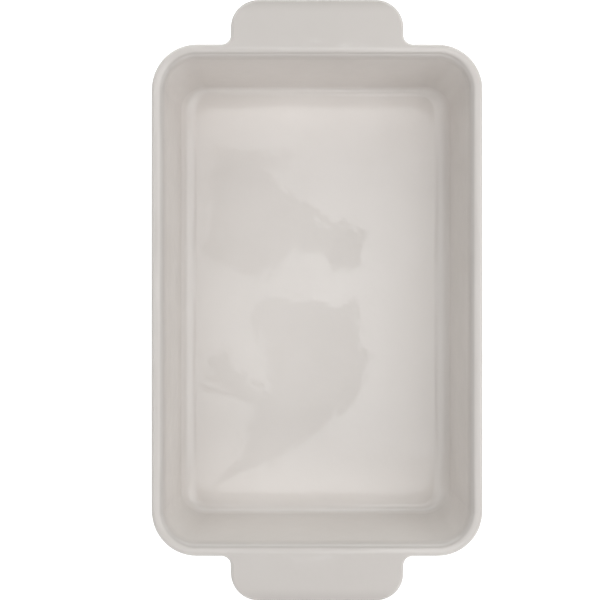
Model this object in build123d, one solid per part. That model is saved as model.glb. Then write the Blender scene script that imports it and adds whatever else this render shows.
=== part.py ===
from build123d import *
from math import cos, radians, sin, sqrt, tan
import os

# A rectangular stoneware lasagna dish with a tab handle at each end.
# X runs across the dish, Y along it from handle to handle, and Z up from the table it stands on.
# Clay and glaze are the same form at two insets, so the glaze covers the clay evenly everywhere.
# All lengths are in millimetres and all angles in degrees.

# The dish seen from above
overall_length = 400.0
body_width = 219.9
corner_radius = 30.0
handle_reach = 30.0
handle_width = 114.7
handle_corner_radius = 18.5
handle_root_radius = 6.3

# The wall, seen in section
height = 68.0
base_thickness = 8.5
wall_thickness = 6.2
inner_draft_angle = 2.6
outer_draft_angle = 2.6
side_fillet_radius = 10.0
end_fillet_radius = 5.8
base_radius = 9.0

# The rim: a narrow flat land, and a full round that falls inward from it to the wall
rim_land = 2.4
rim_slope_angle = 4.0
rim_inner_radius = 5.6

# The foot ring that the dish stands on
foot_height = 1.6
foot_width = 6.0
foot_clearance = 1.0
foot_flank_angle = 25.0

# The lip and the handles, which are one rounded band
lip_height = 10.0
lip_overhang = 2.1
lip_edge_radius = 2.2
lip_cove_share = 0.65
lip_cove_angle = 45.0
lip_cove_depth_share = 0.95
handle_tip_fall = 1.0
handle_tip_rise = 1.0
handle_cove_radius = 7.0
handle_cove_bite_angle = 0.6

# The glaze
glaze_thickness = 0.4
bare_foot_height = 0.9

# How many steps the cavity's section takes round a corner
corner_steps = 6
# How far hidden ends and cutters run on past the surface that they meet
overrun = 5.0
# How much of an edge the curves at its ends may take up
curved_share = 0.95

# The walled body between the handles, and the vertical axes that its rounded corners turn about
body_length = overall_length - 2 * handle_reach
corner_axis_x = body_width / 2 - corner_radius
corner_axis_y = body_length / 2 - corner_radius
# The curves at a handle's root and corners, as far as the edges between them have room
handle_root = min(handle_root_radius, curved_share * (corner_axis_x - handle_width / 2))
handle_corner = min(handle_corner_radius, curved_share * (handle_reach - handle_root))
handle_start_y = body_length / 2 + handle_root
rim_width = wall_thickness + lip_overhang
lip_bottom = height - lip_height
lip_middle = height - lip_height / 2


def wall_section(points, radii, growth):
    """A section in the XZ plane, with X as the distance out from a corner's axis.

    It is drawn past the axis and the table, grown evenly, and then trimmed at both.
    """
    outline = FilletPolyline(*points, radius=radii, close=True)
    section = Plane.XZ * make_face(outline)
    if growth:
        section = offset(section, amount=growth)
    reach = 2 * (corner_radius + height)
    window = Plane.XZ * Pos(reach / 2, reach / 2) * Rectangle(reach, reach)
    return section & window


def carried_round(side, end, corner):
    """A dish's form from its side section, its end section and the corner that joins them."""
    axis_line = side.edges().sort_by(Axis.X)[0].bounding_box()
    middle = Box(2 * corner_axis_x, 2 * corner_axis_y, axis_line.size.Z)
    shape = Pos(0, 0, axis_line.center().Z) * middle
    far_corner = Pos(corner_axis_x, corner_axis_y) * corner
    for piece in (far_corner, mirror(far_corner, about=Plane.XZ)):
        shape += piece
        shape += mirror(piece, about=Plane.YZ)
    long_wall = extrude(side, amount=corner_axis_y, both=True)
    end_wall = extrude(end, amount=corner_axis_x, both=True)
    for way in (1, -1):
        shape += Pos(way * corner_axis_x, 0) * Rot(0, 0, 90 - 90 * way) * long_wall
        shape += Pos(0, way * corner_axis_y) * Rot(0, 0, 90 * way) * end_wall
    return shape


def outer_wall(level):
    """How far the outside of the wall stands from a corner's axis at a level."""
    fall = (height - level) * tan(radians(outer_draft_angle))
    return corner_radius - lip_overhang - fall


def tub(inset):
    """The outside of the walls and base as a full block, from the foot ring to under the lip."""
    angle = radians(lip_cove_angle)
    hold = lip_edge_radius * lip_cove_depth_share
    cove_out = corner_radius - lip_edge_radius + hold * sin(angle)
    cove_top = lip_bottom + lip_edge_radius - hold * cos(angle)
    flare = (cove_out - outer_wall(cove_top)) / (1 / tan(angle) - tan(radians(outer_draft_angle)))
    flare_length = flare / sin(angle)
    turn = radians(90 - lip_cove_angle - outer_draft_angle) / 2
    base_out = outer_wall(foot_height)
    flank = foot_height * tan(radians(foot_flank_angle))
    foot_out = base_out - base_radius - foot_clearance - flank
    foot_in = foot_out - foot_width
    points = [
        (-overrun, foot_height),
        (foot_in - flank, foot_height),
        (foot_in, 0),
        (foot_in, -overrun),
        (foot_out, -overrun),
        (foot_out, 0),
        (foot_out + flank, foot_height),
        (base_out, foot_height),
        (cove_out - flare / tan(angle), cove_top - flare),
        (cove_out, cove_top),
        (corner_radius - lip_edge_radius, lip_middle),
        (-overrun, lip_middle),
    ]
    cove_radius = lip_cove_share * flare_length / tan(turn)
    radii = [0, 0, 0, 0, 0, 0, 0, base_radius, cove_radius, 0, 0, 0]
    section = wall_section(points, radii, -inset)
    return carried_round(section, section, revolve(section, axis=Axis.Z, revolution_arc=90))


def cavity_section(inset, turn_share):
    """The cavity in section, some of the way round a corner from a side wall to an end wall.

    The floor's fillet eases from the sides' radius to the ends', and the rim falls in at the top.
    """
    ease = (1 - cos(radians(180 * turn_share))) / 2
    fillet_radius = side_fillet_radius + (end_fillet_radius - side_fillet_radius) * ease
    slope = tan(radians(rim_slope_angle))
    edge_out = corner_radius - rim_width
    edge_z = height - (rim_width - rim_land) * slope
    wall_low = edge_out - (edge_z - base_thickness) * tan(radians(inner_draft_angle))
    past_lip = corner_radius + overrun
    points = [
        (-overrun, base_thickness),
        (wall_low, base_thickness),
        (edge_out, edge_z),
        (past_lip, height + (rim_land + overrun) * slope),
        (past_lip, height + overrun),
        (-overrun, height + overrun),
    ]
    radii = [0, fillet_radius, rim_inner_radius, 0, 0, 0]
    return Rot(0, 0, 90 * turn_share) * wall_section(points, radii, inset)


def cavity(inset):
    """The room inside the dish."""
    sections = [cavity_section(inset, step / corner_steps) for step in range(corner_steps + 1)]
    end = Rot(0, 0, -90) * sections[-1]
    return carried_round(sections[0], end, loft(sections))


def plan_outline(inset):
    """The outer edge of the lip and handles, seen from above."""
    body = RectangleRounded(body_width, body_length, corner_radius)
    handles = RectangleRounded(handle_width, overall_length, handle_corner)
    outline = body + handles
    roots = [
        corner
        for corner in outline.vertices()
        if abs(abs(corner.X) - handle_width / 2) < glaze_thickness
        and abs(abs(corner.Y) - body_length / 2) < glaze_thickness
    ]
    outline = fillet(roots, handle_root)
    return offset(outline, amount=-inset) if inset else outline


def bow(tip_drop):
    """The arc that leaves a handle's root level and has dropped by this much at its tip.

    It gives the arc's radius, and its drop at the overrun past the tip.
    """
    run = overall_length / 2 - handle_start_y
    radius = (run**2 + tip_drop**2) / (2 * tip_drop)
    return radius, radius - sqrt(radius**2 - (run + overrun) ** 2)


def side_outline(inset):
    """The lip and handles seen from the side: flat, then bowed and thinning outward."""
    end_y = overall_length / 2 + overrun
    crown_radius, fall = bow(handle_tip_fall)
    under_radius, rise = bow(handle_tip_rise)
    half = [
        Line((0, height), (handle_start_y, height)),
        RadiusArc((handle_start_y, height), (end_y, height - fall), crown_radius),
        Line((end_y, height - fall), (end_y, lip_bottom + rise)),
        RadiusArc((end_y, lip_bottom + rise), (handle_start_y, lip_bottom), under_radius),
        Line((handle_start_y, lip_bottom), (0, lip_bottom)),
    ]
    other_half = [mirror(edge, about=Plane.YZ) for edge in half]
    section = make_face(half + other_half)
    section = offset(section, amount=-inset, kind=Kind.INTERSECTION) if inset else section
    return Plane.YZ * section


def band(inset):
    """The lip and both handles: one outline, rounded over along its top and bottom edges."""
    plan = Pos(0, 0, height - 2 * lip_height) * plan_outline(inset)
    blank = extrude(plan, amount=3 * lip_height)
    shape = blank & extrude(side_outline(inset), amount=body_width, both=True)
    upright = shape.faces().filter_by(lambda face: abs(face.normal_at().Z) < sin(radians(1)))
    edges = upright.edges().filter_by(Axis.Z, reverse=True)
    return fillet(edges, lip_edge_radius - inset)


def handle_cove(inset):
    """The rounded inner corner under the handle at +Y, which turns away at both ends.

    Its axis stands inside the wall, and its flanks lean a little into the wall and the handle.
    """
    setback = wall_thickness / 2
    drop = 2 * handle_cove_radius
    low = lip_bottom - drop
    high = lip_bottom + lip_height / 3
    bite = tan(radians(handle_cove_bite_angle))
    lean = tan(radians(outer_draft_angle + handle_cove_bite_angle))
    points = [
        (-overrun, low),
        (setback - drop * lean, low),
        (setback, lip_bottom),
        (setback + handle_cove_radius, lip_bottom + handle_cove_radius * bite),
        (setback + handle_cove_radius, high),
        (-overrun, high),
    ]
    section = wall_section(points, [0, 0, handle_cove_radius, 0, 0, 0], -inset)
    half_run = handle_width / 2 - lip_edge_radius - handle_cove_radius - setback
    shape = Rot(0, 0, 90) * extrude(section, amount=half_run, both=True)
    turned = revolve(section, axis=Axis.Z, revolution_arc=90)
    shape += Pos(half_run, 0) * turned
    shape += Pos(-half_run, 0) * Rot(0, 0, 90) * turned
    return Pos(0, corner_axis_y + outer_wall(lip_bottom) - setback) * shape


def dish_form(inset):
    """The whole dish, with every surface but the resting face moved in by the inset."""
    cove = handle_cove(inset)
    return tub(inset) + band(inset) + cove + mirror(cove, about=Plane.XZ) - cavity(inset)


def glaze_skins(clay):
    """The glaze over the clay, parted by the bare foot ring into the coat and the underside."""
    bare_zone = Pos(0, 0, bare_foot_height / 2) * Box(overall_length, overall_length, bare_foot_height)
    skins = (dish_form(0) - clay - bare_zone).solids().sort_by(SortBy.VOLUME)
    return skins[-1], skins[0]


def main():
    stoneware_body = dish_form(glaze_thickness)
    glaze_coat, underside_glaze = glaze_skins(stoneware_body)
    nodes = {
        "stoneware_body": stoneware_body.solid(),
        "glaze_coat": glaze_coat,
        "underside_glaze": underside_glaze,
    }
    os.makedirs("parts", exist_ok=True)
    for node, shape in nodes.items():
        export_step(shape, f"parts/{node}.step")
        print(node, round(shape.volume), shape.is_valid)


main()
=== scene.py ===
import bmesh
import bpy
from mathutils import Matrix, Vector


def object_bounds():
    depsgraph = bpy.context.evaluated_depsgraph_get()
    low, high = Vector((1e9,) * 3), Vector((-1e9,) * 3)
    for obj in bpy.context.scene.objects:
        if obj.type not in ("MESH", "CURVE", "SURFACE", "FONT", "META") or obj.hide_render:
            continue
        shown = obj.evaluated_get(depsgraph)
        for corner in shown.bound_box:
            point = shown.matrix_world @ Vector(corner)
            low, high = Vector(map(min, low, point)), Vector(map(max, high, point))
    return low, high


# The looks of a glazed stoneware lasagna dish, seen from straight above as in the photograph.
# All lengths are in metres. X runs across the dish, Y from handle to handle, and Z up.

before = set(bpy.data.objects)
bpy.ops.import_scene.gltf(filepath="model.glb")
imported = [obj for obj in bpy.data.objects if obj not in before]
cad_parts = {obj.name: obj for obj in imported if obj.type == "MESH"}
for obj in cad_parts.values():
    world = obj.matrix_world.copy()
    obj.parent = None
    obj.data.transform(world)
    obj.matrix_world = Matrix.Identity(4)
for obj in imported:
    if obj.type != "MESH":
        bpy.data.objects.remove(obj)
cad_low, cad_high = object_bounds()

# The photograph, in pixels with Y down: its size, the rim's width and the dish's middle
photo_size_px = 600
rim_width_px = 330.4
dish_middle_px = (317.1, 300.2)
# How far the camera stood above the rim, and how far the rim's widest line lies below its top
camera_rise = 0.43
rim_round = 0.0022

# The glaze: a warm pale greige, as linear colours
glaze_colour = (0.75, 0.712, 0.682)
glaze_deep_colour = (0.735, 0.697, 0.666)
cloud_size = 0.05
cloud_values = (0.35, 0.7)
# Painted shade: the glaze is darkened toward the top of the rim, where its inward-sloping band lies in
# shade, and less so on the flat tops of the rim and handles. The levels are heights above the table.
painted_shade_colour = (0.5, 0.468, 0.442)
painted_shade_levels = (0.0605, 0.068)
painted_shade_share = 0.85
flat_top_levels = (0.0668, 0.0677)
flat_top_shade_share = 0.35
glaze_roughness_range = (0.02, 0.05)
sheen_size = 0.0167
sheen_values = (0.3, 0.7)
glaze_ior = 1.5
# The slow ripple of the fired surface, which makes the edges of reflections ragged
ripple_size = 0.03
ripple_height = 0.0005
ripple_detail = 3.5

# The bare stoneware of the foot ring
clay_colour = (0.62, 0.52, 0.41)
clay_dark_colour = (0.42, 0.33, 0.25)
clay_roughness = 0.85
grain_size = 0.0012
grain_detail = 6.0
grain_roughness = 0.7
grain_values = (0.45, 0.7)
grain_height = 0.00005

# The studio: soft boxes as (place, width, depth, watts for each square metre, colour), all
# aimed at the dish, and an even light from the sky
white = (1.0, 1.0, 1.0)
cool_white = (0.96, 1.0, 0.99)
faint_warm_white = (1.0, 0.995, 0.99)
soft_boxes = {
    "overhead_box": ((0.0, 0.0, 1.5), 4.2, 1.4, 4.6, white),
    "overhead_right_box": ((1.5, 0.0, 1.45), 1.4, 4.2, 1.6, white),
    "back_box": ((0.0, 2.1, 0.85), 4.2, 1.3, 4.4, cool_white),
    "front_box": ((0.0, -2.1, 1.15), 4.2, 0.7, 5.45, faint_warm_white),
    "right_box": ((2.1, 0.0, 1.1), 4.2, 0.7, 2.1, white),
}
sky_strength = 0.1
# The grey camera rig, which the glossy floor of the dish reflects: flat cards level with the
# lens, each as the corners of its outline, measured across and along the dish from the lens
camera_cards = {
    "camera_arm": (
        (-0.145, 0.065), (-0.125, 0.23), (0.005, 0.23), (0.005, 0.215), (-0.055, 0.2), (0.03, 0.125),
        (0.1, 0.105), (0.1, 0.055), (0.055, 0.035), (0.025, 0.075), (-0.015, 0.075), (-0.06, 0.025),
    ),
    "camera_body": (
        (-0.07, 0.0), (0.085, 0.0), (0.085, -0.075), (0.11, -0.085), (0.08, -0.16), (-0.025, -0.24),
        (-0.155, -0.3), (-0.085, -0.22), (-0.07, -0.16), (-0.145, -0.125), (-0.14, -0.08),
        (-0.105, -0.08), (-0.085, -0.125), (-0.04, -0.145), (-0.045, -0.09), (-0.07, -0.035),
    ),
}
card_colour = (0.62, 0.62, 0.62)
card_lift = 0.01
# The floor, a little under the foot of the dish, and the round backdrop that rises from it
backdrop_radius = 6.0
backdrop_height = 4.0
backdrop_steps = 64
floor_gap = 0.0002
floor_colour = (0.8, 0.8, 0.8)
floor_roughness = 0.9
# How strongly the floor shines near the dish, and far off where the lamps don't reach
floor_lifts = (0.5, 1.0)
lift_distances = (0.8, 3.5)


def new_material(name):
    """An empty node material: its nodes, its links and its surface shader."""
    material = bpy.data.materials.new(name)
    material.use_nodes = True
    nodes = material.node_tree.nodes
    links = material.node_tree.links
    shader = nodes["Principled BSDF"]
    place = nodes.new("ShaderNodeTexCoord").outputs["Object"]
    return material, nodes, links, shader, place


def noise(nodes, links, place, size, detail=3.0, rough=0.5):
    """Soft random values from 0 to 1, with patches of about the given size."""
    texture = nodes.new("ShaderNodeTexNoise")
    texture.inputs["Scale"].default_value = 1 / size
    texture.inputs["Detail"].default_value = detail
    texture.inputs["Roughness"].default_value = rough
    links.new(place, texture.inputs["Vector"])
    return texture.outputs["Fac"]


def spread(nodes, links, value, low, high, to_low=0.0, to_high=1.0):
    """The value stretched from one range to another, and held inside it."""
    stretch = nodes.new("ShaderNodeMapRange")
    stretch.interpolation_type = "SMOOTHSTEP"
    stretch.inputs["From Min"].default_value = low
    stretch.inputs["From Max"].default_value = high
    stretch.inputs["To Min"].default_value = to_low
    stretch.inputs["To Max"].default_value = to_high
    links.new(value, stretch.inputs["Value"])
    return stretch.outputs["Result"]


def blended(nodes, links, share, first, second):
    """A colour between two others, each a plain colour or a socket."""
    mix = nodes.new("ShaderNodeMix")
    mix.data_type = "RGBA"
    links.new(share, mix.inputs["Factor"])
    for socket, colour in ((mix.inputs["A"], first), (mix.inputs["B"], second)):
        if isinstance(colour, tuple):
            socket.default_value = (*colour, 1.0)
        else:
            links.new(colour, socket)
    return mix.outputs["Result"]


def product(nodes, links, first, second):
    """One value times another."""
    times = nodes.new("ShaderNodeMath")
    times.operation = "MULTIPLY"
    links.new(first, times.inputs[0])
    links.new(second, times.inputs[1])
    return times.outputs["Value"]


def bumped(nodes, links, height_map, height, shader):
    """Gives the shader a surface that rises and falls by the height."""
    bump = nodes.new("ShaderNodeBump")
    bump.inputs["Distance"].default_value = height
    links.new(height_map, bump.inputs["Height"])
    links.new(bump.outputs["Normal"], shader.inputs["Normal"])


def glaze_material():
    """A glossy greige glaze, a little cloudy, with painted shade near the top of the rim and the slow
    ripple of a fired surface.
    """
    material, nodes, links, shader, place = new_material("glossy_greige_glaze")
    clouds = spread(nodes, links, noise(nodes, links, place, cloud_size), *cloud_values)
    colour = blended(nodes, links, clouds, glaze_colour, glaze_deep_colour)
    level = nodes.new("ShaderNodeSeparateXYZ")
    links.new(place, level.inputs["Vector"])
    # Painted shade: the colour darkens toward the top of the rim, less on the flat tops of the rim and
    # handles
    painted_rim_shade = spread(nodes, links, level.outputs["Z"], *painted_shade_levels, 0.0, painted_shade_share)
    on_top = spread(nodes, links, level.outputs["Z"], *flat_top_levels, 1.0, flat_top_shade_share)
    colour = blended(nodes, links, product(nodes, links, painted_rim_shade, on_top), colour, painted_shade_colour)
    links.new(colour, shader.inputs["Base Color"])
    sheen_noise = noise(nodes, links, place, sheen_size)
    sheen = spread(nodes, links, sheen_noise, *sheen_values, *glaze_roughness_range)
    links.new(sheen, shader.inputs["Roughness"])
    shader.inputs["IOR"].default_value = glaze_ior
    ripples = noise(nodes, links, place, ripple_size, ripple_detail)
    bumped(nodes, links, ripples, ripple_height, shader)
    return material


def clay_material():
    """Bare fired stoneware: buff, grainy and dull."""
    material, nodes, links, shader, place = new_material("bare_stoneware")
    grain = noise(nodes, links, place, grain_size, grain_detail, grain_roughness)
    specks = spread(nodes, links, grain, *grain_values)
    colour = blended(nodes, links, specks, clay_colour, clay_dark_colour)
    links.new(colour, shader.inputs["Base Color"])
    shader.inputs["Roughness"].default_value = clay_roughness
    bumped(nodes, links, grain, grain_height, shader)
    return material


def dress(node, material):
    """Gives a CAD node its material."""
    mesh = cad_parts[node].data
    mesh.materials.clear()
    mesh.materials.append(material)


def add_camera():
    """Straight above, with the dish as large and as far off centre as in the photograph."""
    rim_scale = rim_width_px / (cad_high.x - cad_low.x)
    camera = bpy.data.cameras.new("camera")
    camera.lens = rim_scale * (camera_rise + rim_round) / photo_size_px * camera.sensor_width
    holder = bpy.data.objects.new("camera", camera)
    holder.location = (
        (photo_size_px / 2 - dish_middle_px[0]) / rim_scale,
        (dish_middle_px[1] - photo_size_px / 2) / rim_scale,
        cad_high.z + camera_rise,
    )
    bpy.context.scene.collection.objects.link(holder)
    bpy.context.scene.camera = holder


def add_soft_box(name, place, width, depth, strength, colour):
    """A rectangular lamp that faces the dish, with the same strength all over."""
    lamp = bpy.data.lights.new(name, "AREA")
    lamp.shape = "RECTANGLE"
    lamp.size = width
    lamp.size_y = depth
    lamp.energy = strength * width * depth
    lamp.color = colour
    holder = bpy.data.objects.new(name, lamp)
    holder.location = place
    holder.rotation_euler = (-Vector(place)).to_track_quat("-Z", "Y").to_euler()
    bpy.context.scene.collection.objects.link(holder)


def add_camera_card(name, outline):
    """A flat grey piece of the camera's rig, which shows only as a reflection."""
    lens = bpy.context.scene.camera.location
    corners = [(lens.x + x, lens.y + y, lens.z + card_lift) for x, y in outline]
    mesh = bpy.data.meshes.new(name)
    mesh.from_pydata(corners, [], [range(len(corners))])
    card = bpy.data.objects.new(name, mesh)
    material, nodes, links, shader, place = new_material(name)
    shader.inputs["Base Color"].default_value = (*card_colour, 1.0)
    mesh.materials.append(material)
    bpy.context.scene.collection.objects.link(card)
    card.visible_camera = False


def seen_directly(nodes, links):
    """1 for rays from the camera, a reflection or through glass, which show the background."""
    path = nodes.new("ShaderNodeLightPath")
    result = path.outputs["Is Camera Ray"]
    for name in ("Is Glossy Ray", "Is Transmission Ray"):
        larger = nodes.new("ShaderNodeMath")
        larger.operation = "MAXIMUM"
        links.new(result, larger.inputs[0])
        links.new(path.outputs[name], larger.inputs[1])
        result = larger.outputs["Value"]
    return result


def add_sky():
    """A little even light from all sides."""
    world = bpy.data.worlds.new("studio")
    world.use_nodes = True
    background = world.node_tree.nodes["Background"]
    background.inputs["Color"].default_value = (*white, 1.0)
    background.inputs["Strength"].default_value = sky_strength
    bpy.context.scene.world = world


def add_floor():
    """A plain pale floor with a round backdrop, which keeps the dish's soft shadow."""
    shape = bmesh.new()
    disc = bmesh.ops.create_circle(shape, cap_ends=True, segments=backdrop_steps, radius=backdrop_radius)
    edges = list({edge for point in disc["verts"] for edge in point.link_edges})
    raised = bmesh.ops.extrude_edge_only(shape, edges=edges)["geom"]
    points = [item for item in raised if isinstance(item, bmesh.types.BMVert)]
    bmesh.ops.translate(shape, verts=points, vec=(0.0, 0.0, backdrop_height))
    mesh = bpy.data.meshes.new("floor")
    shape.to_mesh(mesh)
    shape.free()
    floor = bpy.data.objects.new("floor", mesh)
    floor.location.z = cad_low.z - floor_gap
    bpy.context.scene.collection.objects.link(floor)
    material, nodes, links, shader, place = new_material("pale_floor")
    shader.inputs["Base Color"].default_value = (*floor_colour, 1.0)
    shader.inputs["Roughness"].default_value = floor_roughness
    shader.inputs["Emission Color"].default_value = (*white, 1.0)
    distance = nodes.new("ShaderNodeVectorMath")
    distance.operation = "LENGTH"
    links.new(place, distance.inputs[0])
    lift = spread(nodes, links, distance.outputs["Value"], *lift_distances, *floor_lifts)
    seen_lift = product(nodes, links, lift, seen_directly(nodes, links))
    links.new(seen_lift, shader.inputs["Emission Strength"])
    mesh.materials.append(material)


glaze = glaze_material()
dress("glaze_coat", glaze)
dress("underside_glaze", glaze)
dress("stoneware_body", clay_material())

add_camera()
for name, outline in camera_cards.items():
    add_camera_card(name, outline)
for name, box in soft_boxes.items():
    add_soft_box(name, *box)
add_sky()
add_floor()
bpy.context.scene.view_settings.view_transform = "Standard"
